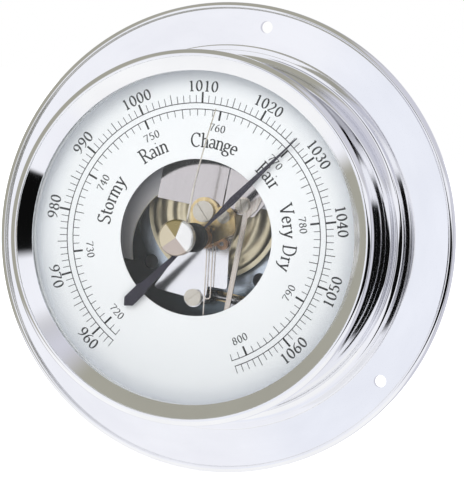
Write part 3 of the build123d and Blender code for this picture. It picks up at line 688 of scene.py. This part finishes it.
# Each sign is its advance width and its strokes, on a body whose capitals are 1 high.
SIGNS = {
    "0": (0.62, [arc(0.31, 0.5, 0.22, 0.47, 90, 450)]),
    "1": (0.46, [bar(0.25, 0.03, 0.25, 0.96), foot(0.25, 0.03, 0.15), bar(0.1, 0.84, 0.25, 0.95)]),
    "2": (0.6, [
        arc(0.29, 0.74, 0.2, 0.22, 170, 0) + bend((0.49, 0.74), (0.49, 0.5), (0.2, 0.28), (0.07, 0.05)),
        bar(0.07, 0.05, 0.52, 0.05), bar(0.52, 0.05, 0.54, 0.14),
    ]),
    "3": (0.58, [arc(0.27, 0.75, 0.18, 0.2, 160, -90), arc(0.27, 0.29, 0.22, 0.26, 90, -150)]),
    "4": (0.62, [
        bar(0.41, 0.97, 0.05, 0.31), bar(0.05, 0.31, 0.58, 0.31), bar(0.42, 0.03, 0.42, 0.96),
        foot(0.42, 0.03, 0.12),
    ]),
    "5": (0.58, [
        bar(0.16, 0.95, 0.5, 0.95), bar(0.16, 0.95, 0.13, 0.54),
        arc(0.28, 0.31, 0.22, 0.28, 122, -150),
    ]),
    "6": (0.6, [
        bend((0.5, 0.97), (0.24, 0.9), (0.08, 0.62), (0.08, 0.32)),
        arc(0.3, 0.3, 0.22, 0.27, 90, 450),
    ]),
    "7": (0.56, [
        bar(0.05, 0.95, 0.53, 0.95), bend((0.53, 0.95), (0.4, 0.65), (0.24, 0.4), (0.2, 0.03)),
        bar(0.05, 0.95, 0.04, 0.84),
    ]),
    "8": (0.6, [arc(0.3, 0.74, 0.17, 0.21, 90, 450), arc(0.3, 0.28, 0.21, 0.26, 90, 450)]),
    "9": (0.6, [
        bend((0.1, 0.03), (0.36, 0.1), (0.52, 0.38), (0.52, 0.68)),
        arc(0.3, 0.7, 0.22, 0.27, 90, 450),
    ]),
    "S": (0.6, [
        arc(0.3, 0.73, 0.19, 0.22, 35, 240)
        + bend((0.22, 0.54), (0.36, 0.46), (0.5, 0.42), (0.5, 0.26))
        + arc(0.28, 0.25, 0.22, 0.23, 0, -150),
        bar(0.49, 0.84, 0.49, 0.97), bar(0.08, 0.03, 0.08, 0.17),
    ]),
    "R": (0.72, [
        bar(0.16, 0.03, 0.16, 0.97), foot(0.16, 0.03), foot(0.16, 0.97),
        arc(0.32, 0.74, 0.2, 0.23, 90, -90), bar(0.16, 0.97, 0.32, 0.97), bar(0.16, 0.51, 0.32, 0.51),
        bar(0.34, 0.5, 0.62, 0.03), foot(0.64, 0.03, 0.07),
    ]),
    "C": (0.74, [arc(0.4, 0.5, 0.31, 0.47, 52, 312), bar(0.62, 0.7, 0.62, 0.95)]),
    "F": (0.62, [
        bar(0.17, 0.03, 0.17, 0.97), foot(0.17, 0.03), foot(0.15, 0.97, 0.1),
        bar(0.17, 0.97, 0.56, 0.97), bar(0.56, 0.97, 0.57, 0.8), bar(0.17, 0.52, 0.44, 0.52),
        bar(0.44, 0.43, 0.44, 0.62),
    ]),
    "V": (0.74, [
        bar(0.1, 0.95, 0.37, 0.04), bar(0.37, 0.04, 0.63, 0.95), foot(0.1, 0.97),
        foot(0.64, 0.97, 0.11),
    ]),
    "D": (0.78, [
        bar(0.17, 0.03, 0.17, 0.97), bar(0.07, 0.03, 0.34, 0.03), bar(0.07, 0.97, 0.34, 0.97),
        arc(0.34, 0.5, 0.33, 0.47, 90, -90),
    ]),
    "a": (0.5, [
        arc(0.23, 0.47, 0.15, 0.16, 160, 0) + [(0.38, 0.1)], arc(0.23, 0.18, 0.15, 0.15, 60, 330),
        bar(0.38, 0.1, 0.48, 0.04),
    ]),
    "c": (0.48, [arc(0.26, 0.33, 0.18, 0.3, 50, 310)]),
    "e": (0.5, [bar(0.09, 0.36, 0.42, 0.36), arc(0.26, 0.33, 0.18, 0.3, 5, 315)]),
    "g": (0.52, [
        arc(0.23, 0.44, 0.15, 0.18, 90, 450), bar(0.34, 0.56, 0.48, 0.6),
        bend((0.14, 0.28), (0.04, 0.16), (0.1, 0.08), (0.3, 0.08)),
        arc(0.25, -0.1, 0.2, 0.16, 70, 430),
    ]),
    "h": (0.6, stem(0.15, 0.0, 1.0, 0.1) + arch(0.3, 0.15, 0.1)),
    "i": (0.32, stem(0.17, 0.0, 0.64, 0.1) + [bar(0.13, 0.88, 0.2, 0.88)]),
    "m": (0.9, stem(0.15, 0.0, 0.64, 0.09) + arch(0.29, 0.14, 0.09) + arch(0.57, 0.14, 0.09)),
    "n": (0.6, stem(0.15, 0.0, 0.64, 0.1) + arch(0.3, 0.15, 0.1)),
    "o": (0.54, [arc(0.27, 0.33, 0.18, 0.29, 90, 450)]),
    "r": (0.42, stem(0.15, 0.0, 0.64, 0.1) + [arc(0.29, 0.44, 0.13, 0.17, 150, 50)]),
    "t": (0.38, [
        bar(0.17, 0.84, 0.17, 0.16) + arc(0.28, 0.15, 0.11, 0.12, 180, 300),
        bar(0.05, 0.6, 0.34, 0.6),
    ]),
    "y": (0.54, [
        bar(0.1, 0.6, 0.28, 0.06),
        bar(0.45, 0.6, 0.26, 0.02) + bend((0.26, 0.02), (0.18, -0.2), (0.12, -0.27), (0.02, -0.24)),
        foot(0.1, 0.61, 0.09), foot(0.46, 0.61, 0.07),
    ]),
    " ": (0.36, []),
}
FIGURE_CELL = 0.74
INK_HEIGHT = 0.02


def pen(bm, stroke, place, wide):
    """Lays one stroke of the pen; place turns (x, y) on the sign's body into (x, z) on the dial."""
    left, right = [], []
    for i, (x, y) in enumerate(stroke):
        ahead, behind = stroke[min(i + 1, len(stroke) - 1)], stroke[max(i - 1, 0)]
        way = math.atan2(ahead[1] - behind[1], ahead[0] - behind[0])
        broad = NIB_WIDE * wide * math.sin(way - NIB_ANGLE)
        half = 0.5 * math.hypot(broad, NIB_THIN * math.cos(way - NIB_ANGLE))
        dx, dy = -half * math.sin(way), half * math.cos(way)
        left.append(place(x + dx, y + dy))
        right.append(place(x - dx, y - dy))
    depth = -(DIAL_FACE + INK_HEIGHT)
    rows = [[bm.verts.new((x, depth, z)) for x, z in side] for side in (left, right)]
    for i in range(len(stroke) - 1):
        bm.faces.new((rows[0][i], rows[1][i], rows[1][i + 1], rows[0][i + 1]))


def lettering(bm, text, angle, radius, height, wide=1.0, spread=1.0, outward=True, stretch=1.0):
    """Sets a word along a circle about the dial's axis, its middle at a clock angle.

    The radius is that of the signs' own middle. Signs whose tops point inwards run the other way.
    All figures stand in cells of one width."""
    cells = [(FIGURE_CELL if sign.isdigit() else SIGNS[sign][0]) * height * spread for sign in text]
    run = -sum(cells) / 2
    for sign, cell in zip(text, cells):
        advance, strokes = SIGNS[sign]
        turn = angle + math.degrees((run + cell / 2) / radius) * (1 if outward else -1)
        run += cell
        ox, oz = clock(turn, radius)
        up = clock(turn, 1) if outward else clock(turn + 180, 1)
        across = (up[1], -up[0])

        def place(x, y):
            u, v = (x - advance / 2) * height * stretch, (y - 0.48) * height
            return ox + across[0] * u + up[0] * v, oz + across[1] * u + up[1] * v

        for stroke in strokes:
            pen(bm, stroke, place, wide)


# ---------------------------------------------------------------- printing: rings of scale marks

def socket_of(tree, name):
    """The identifier of one of the tree's named inputs."""
    return next(item.identifier for item in tree.interface.items_tree if item.name == name)


def bars_round_axis():
    """Bars standing round an axis square to the wall, one every Step from First, made real at the end."""
    tree = bpy.data.node_groups.new("bars_round_axis", "GeometryNodeTree")
    face = tree.interface
    face.new_socket("Geometry", in_out="OUTPUT", socket_type="NodeSocketGeometry")
    face.new_socket("Count", in_out="INPUT", socket_type="NodeSocketInt")
    for name in ("First", "Step", "Inner radius", "Length", "Width", "Back", "Height"):
        face.new_socket(name, in_out="INPUT", socket_type="NodeSocketFloat")
    face.new_socket("Finish", in_out="INPUT", socket_type="NodeSocketMaterial")
    nodes, link = tree.nodes, tree.links.new
    given, out = nodes.new("NodeGroupInput"), nodes.new("NodeGroupOutput")

    def math_node(operation, a, b):
        made = nodes.new("ShaderNodeMath")
        made.operation = operation
        for i, term in enumerate((a, b)):
            if isinstance(term, (int, float)):
                made.inputs[i].default_value = term
            else:
                link(term, made.inputs[i])
        return made.outputs[0]

    value = {socket.name: socket for socket in given.outputs}
    index = nodes.new("GeometryNodeInputIndex").outputs[0]
    turn = math_node("ADD", value["First"], math_node("MULTIPLY", index, value["Step"]))
    middle = math_node("ADD", value["Inner radius"], math_node("DIVIDE", value["Length"], 2))
    depth = math_node("ADD", value["Back"], math_node("DIVIDE", value["Height"], 2))
    place = nodes.new("ShaderNodeCombineXYZ")
    link(math_node("MULTIPLY", math_node("SINE", turn, 0), middle), place.inputs[0])
    link(math_node("MULTIPLY", depth, -1), place.inputs[1])
    link(math_node("MULTIPLY", math_node("COSINE", turn, 0), middle), place.inputs[2])
    spots = nodes.new("GeometryNodePoints")
    link(value["Count"], spots.inputs["Count"])
    link(place.outputs[0], spots.inputs["Position"])
    brick = nodes.new("GeometryNodeMeshCube")
    size = nodes.new("ShaderNodeCombineXYZ")
    for i, name in enumerate(("Width", "Height", "Length")):
        link(value[name], size.inputs[i])
    link(size.outputs[0], brick.inputs["Size"])
    angle = nodes.new("ShaderNodeCombineXYZ")
    link(turn, angle.inputs[1])
    copies = nodes.new("GeometryNodeInstanceOnPoints")
    link(spots.outputs[0], copies.inputs["Points"])
    link(brick.outputs["Mesh"], copies.inputs["Instance"])
    link(angle.outputs[0], copies.inputs["Rotation"])
    real = nodes.new("GeometryNodeRealizeInstances")
    painted = nodes.new("GeometryNodeSetMaterial")
    link(copies.outputs[0], real.inputs[0])
    link(real.outputs[0], painted.inputs["Geometry"])
    link(value["Finish"], painted.inputs["Material"])
    link(painted.outputs[0], out.inputs[0])
    return tree


BARS = bars_round_axis()


def bar_ring(name, finish, **sizes):
    """One ring of bars as a plain mesh; lengths are in millimetres and angles in degrees."""
    made = bpy.data.objects.new(name, bpy.data.meshes.new(name))
    bpy.context.collection.objects.link(made)
    grower = made.modifiers.new("bars", "NODES")
    grower.node_group = BARS
    for key, value in sizes.items():
        title = key.replace("_", " ").capitalize()
        if title in ("First", "Step"):
            value = math.radians(value)
        elif title != "Count":
            value = value * MM
        grower[socket_of(BARS, title)] = value
    grower[socket_of(BARS, "Finish")] = finish
    settle(made)
    return made


HPA_LOW, HPA_HIGH, HPA_TOP = 957, 1069, 1013.25
DEGREES_PER_HPA = 2.7
HPA_PER_MMHG = 1.33322
MMHG_LOW, MMHG_HIGH = 718, 802
OUTER_ARC, INNER_ARC, ARC_WIDTH = 30.7, 29.3, 0.2


def hpa_angle(pressure):
    """Clock angle of a pressure in hectopascals."""
    return (pressure - HPA_TOP) * DEGREES_PER_HPA


def mmhg_angle(pressure):
    """Clock angle of a pressure in millimetres of mercury."""
    return hpa_angle(pressure * HPA_PER_MMHG)


def scale_marks(first, last, every, angle_of, inner, outer, width):
    """Marks at every so many units from the first to the last."""
    step = (angle_of(last) - angle_of(first)) / (last - first) * every
    return bar_ring(
        "marks", INK, count=(last - first) // every + 1, first=angle_of(first), step=step,
        inner_radius=inner, length=outer - inner, width=width, back=DIAL_FACE, height=INK_HEIGHT,
    )


def arc_line(bm, radius, width, start, end):
    """A printed circular line."""
    steps = 200
    depth = -(DIAL_FACE + INK_HEIGHT)
    rows = []
    for i in range(steps + 1):
        turn = start + (end - start) * i / steps
        sides = clock(turn, radius - width / 2), clock(turn, radius + width / 2)
        rows.append([bm.verts.new((x, depth, z)) for x, z in sides])
    for one, two in zip(rows, rows[1:]):
        bm.faces.new((*one, *two[::-1]))


HPA_FIGURES = {"radius": 34.55, "height": 2.5, "wide": 1.05, "stretch": 1.1}
MMHG_FIGURES = {"radius": 25.35, "height": 1.75, "wide": 0.95, "stretch": 1.1}
WORDS = {"radius": 22.2, "height": 3.3, "wide": 0.78, "stretch": 1.08}
TOPS_INWARDS = (720, 730, 790, 800, 960, 970, 1050, 1060)
FINE_MARK, MIDDLE_MARK, BOLD_MARK = 0.15, 0.17, 0.45
ARC_OVERRUN = 0.2

bm = bmesh.new()
for radius, angle_of, low, high in (
    (OUTER_ARC, hpa_angle, HPA_LOW, HPA_HIGH),
    (INNER_ARC, mmhg_angle, MMHG_LOW, MMHG_HIGH),
):
    arc_line(bm, radius, ARC_WIDTH, angle_of(low) - ARC_OVERRUN, angle_of(high) + ARC_OVERRUN)
for first, last, angle_of, figures in (
    (960, 1060, hpa_angle, HPA_FIGURES),
    (720, 800, mmhg_angle, MMHG_FIGURES),
):
    for pressure in range(first, last + 1, 10):
        lettering(bm, str(pressure), angle_of(pressure), outward=pressure not in TOPS_INWARDS, **figures)
for word, angle, spread in (
    ("Stormy", -78.5, 1.03),
    ("Rain", -38.5, 1.0),
    ("Change", 0.0, 1.0),
    ("Fair", 39.0, 1.05),
    ("Very Dry", 78.5, 1.1),
):
    lettering(bm, word, angle, spread=spread, **WORDS)
printing = mesh_object("dial_printing", bm)
bpy.context.view_layer.update()
marks = [
    scale_marks(HPA_LOW, HPA_HIGH, 1, hpa_angle, OUTER_ARC, OUTER_ARC + 1.75, FINE_MARK),
    scale_marks(960, 1065, 5, hpa_angle, OUTER_ARC, OUTER_ARC + 2.3, MIDDLE_MARK),
    scale_marks(960, 1060, 10, hpa_angle, OUTER_ARC, OUTER_ARC + 2.5, BOLD_MARK),
    scale_marks(MMHG_LOW, MMHG_HIGH, 1, mmhg_angle, INNER_ARC - 1.5, INNER_ARC, FINE_MARK),
    scale_marks(720, 800, 5, mmhg_angle, INNER_ARC - 2.1, INNER_ARC, MIDDLE_MARK),
    scale_marks(720, 800, 10, mmhg_angle, INNER_ARC - 2.2, INNER_ARC, BOLD_MARK),
]
whole = bmesh.new()
for source in [printing, *marks]:
    whole.from_mesh(source.data)
whole.to_mesh(printing.data)
whole.free()
for source in marks:
    bpy.data.objects.remove(source)
fit(printing, "case", "dial_white", finish=INK, even=False)

# ---------------------------------------------------------------- hands and knob

HUB_BORE, HUB_FACE_THICK = 0.4, 1.0
hub_back, hub_front = back_of("pressure_hand_hub"), front_of("pressure_hand_hub")
hub = turned("hand_hub", rounded([
    (HUB_BORE, hub_back),
    (HUB_R, hub_back, 0.25),
    (HUB_R, hub_front, 0.7),
    (0, hub_front),
    (0, hub_front - HUB_FACE_THICK),
    (HUB_BORE, hub_front - HUB_FACE_THICK),
]), around=96)
fit(hub, "pressure_hand", "black_hand", "pressure_hand_hub", finish=HUB_BLACK)

GROOVE, GROOVE_DEEP, FACE_INSET = 0.15, 0.003, 0.01
KNOB_BEVEL, KNURL_ROOT, KNURLS, KNOB_BORE, KNOB_FACE_THICK = 0.25, 0.1, 96, 1.0, 0.8
KNOB_FACE = KNOB_R - KNURL_ROOT - KNOB_BEVEL
face_ring = []
steps = int(KNOB_FACE / GROOVE) * 6
for k in range(steps + 1):
    radius = KNOB_FACE * (1 - k / steps)
    groove = GROOVE_DEEP * (math.cos(2 * math.pi * radius / GROOVE) - 1)
    face_ring.append((radius, KNOB_FRONT - FACE_INSET + groove))
knob = turned("knob_turned", [
    (KNOB_BORE, KNOB_BACK),
    (KNOB_FACE, KNOB_BACK),
    (KNOB_R - KNURL_ROOT, KNOB_BACK + KNOB_BEVEL),
    (KNOB_R - KNURL_ROOT, KNOB_FRONT - KNOB_BEVEL),
    *face_ring,
    (0, KNOB_FRONT - KNOB_FACE_THICK),
    (KNOB_BORE, KNOB_FRONT - KNOB_FACE_THICK),
], around=120)
knurl = bar_ring(
    "knob_knurl", FINISHES["gold_knob"], count=KNURLS, first=0.0, step=360 / KNURLS,
    inner_radius=KNOB_R - 0.3, length=0.29, width=0.14,
    back=KNOB_BACK + KNOB_BEVEL, height=KNOB_FRONT - KNOB_BACK - 2 * KNOB_BEVEL,
)
fit(knob, "set_hand", "gold_knob", "setting_knob", crease=50)
fit(knurl, "set_hand", "gold_knob", even=False)

# ---------------------------------------------------------------- capsule

BOSS_R, CAPSULE_R, CAPSULE_RIM = 3.2, reach("capsule_upper"), 0.9
capsule_low, capsule_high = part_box("capsule_upper")
CAPSULE_Z = (capsule_low.z + capsule_high.z) / 2 / MM
CAPSULE_SHEET, CAPSULE_RISE, CAPSULE_WAVE, WAVES = 0.3, 1.9, 0.12, 4
RIM_DEPTH = front_of("capsule_upper") - CAPSULE_SHEET - CAPSULE_RISE


def wave_rise(radius):
    """Height of the pressed sheet over the capsule's rim."""
    share = (radius - BOSS_R) / (CAPSULE_R - CAPSULE_RIM - BOSS_R)
    return CAPSULE_RISE * (1 - share ** 3) - CAPSULE_WAVE * math.sin(2 * math.pi * WAVES * share)


wave_radii = [BOSS_R + (CAPSULE_R - CAPSULE_RIM - BOSS_R) * k / 64 for k in range(65)]
upper = [(r, RIM_DEPTH + wave_rise(r) + CAPSULE_SHEET) for r in wave_radii]
lower = [(r, RIM_DEPTH + wave_rise(r)) for r in wave_radii]
capsule = turned("capsule_pressed", [
    (0, lower[0][1]),
    *lower,
    (CAPSULE_R, lower[-1][1]),
    (CAPSULE_R, upper[-1][1]),
    *upper[::-1],
    (0, upper[0][1]),
], around=160, centre=(0, CAPSULE_Z))
fit(capsule, "case", "capsule_bronze", "capsule_upper", crease=50)

# ---------------------------------------------------------------- parts carried over, with their finishes

slot_of = {part["node"]: part["material_slot"] for part in frame["record"]["subparts"]}
for name, node in frame["nodes"].items():
    if node.hide_render:
        continue
    node.data.materials.clear()
    node.data.materials.append(FINISHES[slot_of[name]])

# ---------------------------------------------------------------- studio

scene = bpy.context.scene
scene.view_settings.view_transform = "Standard"
world = bpy.data.worlds.new("studio")
scene.world = world
world.use_nodes = True
sky = world.node_tree


def ramp_up(value, low, high):
    """Rises softly from 0 to 1 as the value passes from low to high."""
    made = add(sky, "ShaderNodeMapRange", From_Min=low, From_Max=high)
    made.interpolation_type = "SMOOTHSTEP"
    sky.links.new(value, made.inputs["Value"])
    return made.outputs["Result"]


def between(value, low, high, soft):
    """1 between two limits and 0 outside them, with soft edges."""
    past_low, past_high = ramp_up(value, low - soft, low + soft), ramp_up(value, high - soft, high + soft)
    return sums(sky, "SUBTRACT", past_low, past_high)


def laid_over(under, colour, cover):
    """A colour, or a colour socket, laid over another as far as the cover goes."""
    made = sky.nodes.new("ShaderNodeMix")
    made.data_type = "RGBA"
    for socket, shade in ((made.inputs[6], under), (made.inputs[7], colour)):
        if isinstance(shade, tuple):
            socket.default_value = (*shade, 1)
        else:
            sky.links.new(shade, socket)
    sky.links.new(cover, made.inputs[0])
    return made.outputs[2]


WHITE, PURE_WHITE = (0.95, 0.955, 1.0), (1.0, 1.0, 1.0)
SOFT_BLUE, LILAC = (0.9, 0.92, 0.99), (0.66, 0.66, 0.73)
TAN, GREY, BLACK = (0.4, 0.39, 0.33), (0.34, 0.34, 0.38), (0.004, 0.004, 0.004)
DIFFUSE_LIGHT = (0.92, 0.93, 0.94)
view = sky.nodes.new("ShaderNodeTexCoord")
axes = sky.nodes.new("ShaderNodeSeparateXYZ")
sky.links.new(view.outputs["Generated"], axes.inputs[0])
to_right, to_back, to_top = axes.outputs
to_front = sums(sky, "MULTIPLY", to_back, -1)
to_left = sums(sky, "MULTIPLY", to_right, -1)
in_front = ramp_up(to_front, 0.0, 0.05)
ahead = sums(sky, "MAXIMUM", to_front, 0.01)
across, rise = sums(sky, "DIVIDE", to_right, ahead), sums(sky, "DIVIDE", to_top, ahead)

# The walls and roof of a light tent, then soft screens hung before the instrument.
shade = laid_over(LILAC, WHITE, ramp_up(to_front, -0.2, 0.3))
wall_left = sums(sky, "MULTIPLY", ramp_up(to_left, 0.42, 0.6), ramp_up(to_top, -0.52, -0.42))
roof = ramp_up(to_top, 0.45, 0.62)
roof_right = sums(sky, "MULTIPLY", roof, ramp_up(to_right, 0.1, 0.3))
shade = laid_over(shade, TAN, sums(sky, "MAXIMUM", roof, wall_left))
shade = laid_over(shade, LILAC, roof_right)
shade = laid_over(shade, GREY, sums(sky, "MULTIPLY", ramp_up(to_right, 0.88, 0.94), in_front))
shade = laid_over(shade, PURE_WHITE, ramp_up(sums(sky, "MULTIPLY", to_top, -1), 0.5, 0.62))
for sides, heights, soft, colour in (
    ((-0.2, -0.06), (-0.6, 0.6), 0.04, SOFT_BLUE),
    ((-0.25, 0.1), (0.24, 0.44), 0.02, GREY),
    ((0.12, 1.0), (-0.29, 0.19), 0.02, BLACK),
    ((0.08, 0.52), (0.3, 0.42), 0.015, BLACK),
    ((0.72, 1.8), (-0.27, 0.27), 0.04, BLACK),
):
    spot = sums(sky, "MULTIPLY", between(across, *sides, soft), between(rise, *heights, soft))
    shade = laid_over(shade, colour, sums(sky, "MULTIPLY", spot, in_front))
ray = sky.nodes.new("ShaderNodeLightPath")
shade = laid_over(shade, DIFFUSE_LIGHT, ray.outputs["Is Diffuse Ray"])
shade = laid_over(shade, PURE_WHITE, ray.outputs["Is Camera Ray"])
sky.links.new(shade, sky.nodes["Background"].inputs["Color"])

FLOOR_Z, FLOOR_REACH = -0.0565, 3
ground = bmesh.new()
corners = [
    ground.verts.new((x * FLOOR_REACH, y * FLOOR_REACH, FLOOR_Z))
    for x, y in ((-1, -1), (1, -1), (1, 1), (-1, 1))
]
ground.faces.new(corners)
floor_mesh = bpy.data.meshes.new("floor")
ground.to_mesh(floor_mesh)
ground.free()
floor = bpy.data.objects.new("floor", floor_mesh)
floor_paper, _, floor_shader = new_finish("floor_paper", (0.94, 0.94, 0.94), 0.9, 0.0)
floor_shader.inputs["Emission Color"].default_value = (*PURE_WHITE, 1)
floor_shader.inputs["Emission Strength"].default_value = 0.5
floor.data.materials.append(floor_paper)
bpy.context.collection.objects.link(floor)
floor.visible_glossy = floor.visible_diffuse = False
floor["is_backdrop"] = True


INSTRUMENT_MIDDLE = Vector((0, -0.02, 0))


def soft_light(name, place, power, size):
    """A square lamp looking at the middle of the instrument."""
    lamp = bpy.data.lights.new(name, "AREA")
    lamp.energy, lamp.size = power, size
    made = bpy.data.objects.new(name, lamp)
    made.visible_glossy = False
    made.location = place
    made.rotation_mode = "QUATERNION"
    made.rotation_quaternion = (INSTRUMENT_MIDDLE - Vector(place)).to_track_quat("-Z", "Y")
    bpy.context.collection.objects.link(made)


soft_light("key_soft", (-0.5, -1.3, 0.9), 8.5, 0.9)
soft_light("fill_soft", (0.9, -1.0, 0.4), 1.5, 0.8)

# ---------------------------------------------------------------- camera

UNIT = OUTER_ARC * MM
AZIMUTH, ELEVATION, ROLL = math.radians(14.984), math.radians(3.293), math.radians(11.346)
LENS_MM, SENSOR_MM = 301.8473, 36.0
DISTANCE, SHIFT_X, SHIFT_Y = 30.0, -0.26991, 0.02604
outwards = math.cos(ELEVATION)
back = Vector((math.sin(AZIMUTH) * outwards, -math.cos(AZIMUTH) * outwards, math.sin(ELEVATION)))
level_x = Vector((0, 0, 1)).cross(back).normalized()
level_y = back.cross(level_x)
right = level_x * math.cos(ROLL) + level_y * math.sin(ROLL)
up = level_y * math.cos(ROLL) - level_x * math.sin(ROLL)
lens = bpy.data.cameras.new("camera")
camera = bpy.data.objects.new("camera", lens)
bpy.context.collection.objects.link(camera)
lens.sensor_fit, lens.sensor_width, lens.lens = "AUTO", SENSOR_MM, LENS_MM
lens.clip_start, lens.clip_end = 0.05, 20
place = Vector((0, -DIAL_FACE * MM, 0)) + (right * -SHIFT_X + up * -SHIFT_Y + back * DISTANCE) * UNIT
turn = Matrix((right, up, back)).transposed().to_4x4()
camera.matrix_world = Matrix.Translation(place) @ turn
scene.camera = camera

low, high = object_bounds()
{"cad": [list(cad_box[0]), list(cad_box[1])], "visual": [list(low), list(high)]}
